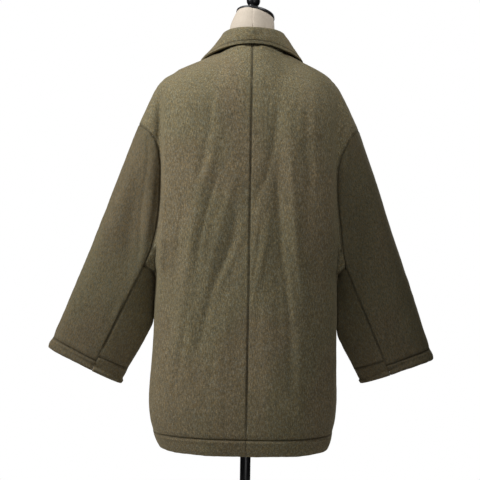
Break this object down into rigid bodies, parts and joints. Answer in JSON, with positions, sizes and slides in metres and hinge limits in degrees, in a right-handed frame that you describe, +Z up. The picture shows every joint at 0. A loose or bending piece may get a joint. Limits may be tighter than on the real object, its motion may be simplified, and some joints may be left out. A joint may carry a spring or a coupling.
{
  "type": "padded coat on a dress form",
  "caption": "Knee-length padded wool coat with drop shoulders, wide sleeves, a rolled collar and a buttoned front, hung on a limbless dress form with a pole and a round base.",
  "frame": {"origin": "on the floor, at the centre of the base's underside", "axes": "+Z up along the pole; -Y to the coat's buttoned front; +X to the wearer's left"},
  "size_m": [0.849, 0.35, 1.4835],
  "materials": {
    "wool": "soft melange wool, brushed, matte",
    "button": "horn-like, satin",
    "linen": "plain woven cover, matte",
    "black": "smooth black paint, semi-gloss"
  },
  "bodies": {
    "root": {"back_left": "wool", "back_right": "wool", "front_left": "wool", "front_right": "wool", "sleeve_upper_left": "wool", "sleeve_upper_right": "wool", "sleeve_under_left": "wool", "sleeve_under_right": "wool", "collar": "wool", "button_1": "button", "button_2": "button", "button_3": "button", "button_4": "button", "button_5": "button", "form_torso": "linen", "form_plate": "black", "neck_cap": "black", "finial": "black", "pole": "black", "base": "black"}
  },
  "joints": []
}
